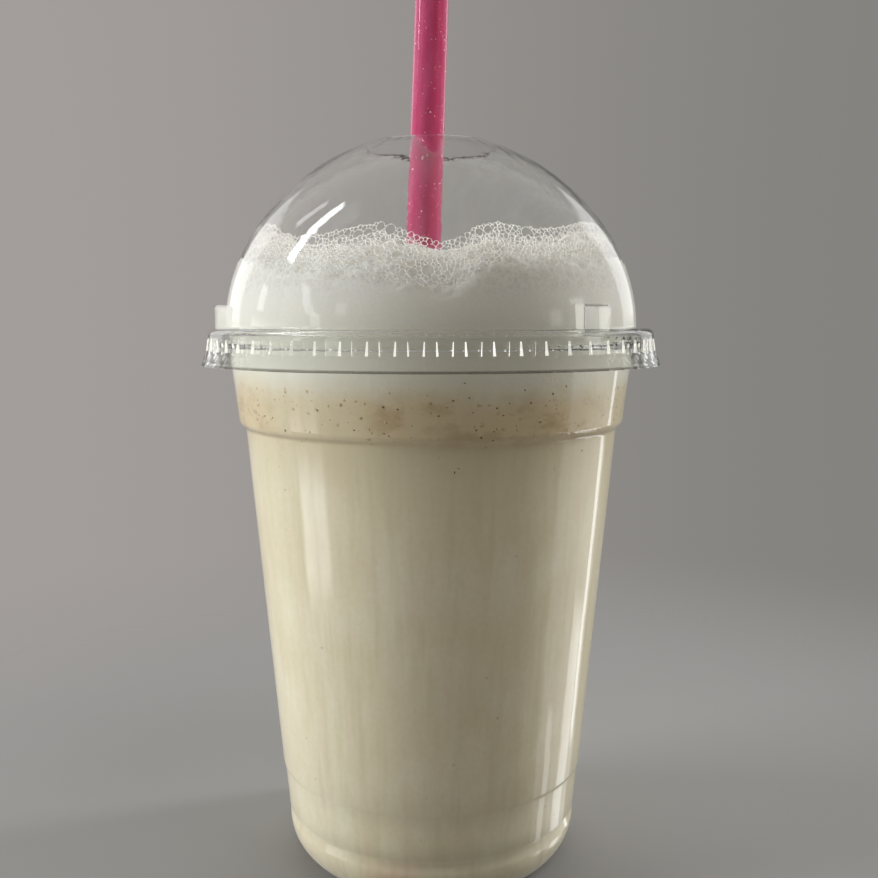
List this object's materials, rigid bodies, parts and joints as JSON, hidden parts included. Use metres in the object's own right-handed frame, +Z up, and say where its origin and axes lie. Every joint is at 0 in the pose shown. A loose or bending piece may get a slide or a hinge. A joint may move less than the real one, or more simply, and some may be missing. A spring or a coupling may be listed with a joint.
{
  "type": "banana smoothie in a dome-lid cup",
  "caption": "Banana smoothie with a bubbly foam top in a clear tapered cup with a domed lid and a pink glitter straw, for standing on a table.",
  "frame": {"origin": "centre of the standing ring under the cup, on the surface it stands on", "axes": "+Z up along the cup's axis, -Y to the front, +X to the right; the straw leans back towards +Y"},
  "size_m": [0.102, 0.102, 0.2286],
  "materials": {
    "clear_cup": "clear, glossy",
    "clear_lid": "clear, glossy",
    "pink_straw": "translucent, glossy, with glitter",
    "smoothie": "wet, opaque",
    "speckled": "wet, speckled",
    "foam": "bubbly"
  },
  "bodies": {
    "root": {"cup": "clear_cup", "lid": "clear_lid", "straw": "pink_straw", "smoothie": "smoothie", "speckled_layer": "speckled", "foam": "foam"}
  },
  "joints": []
}
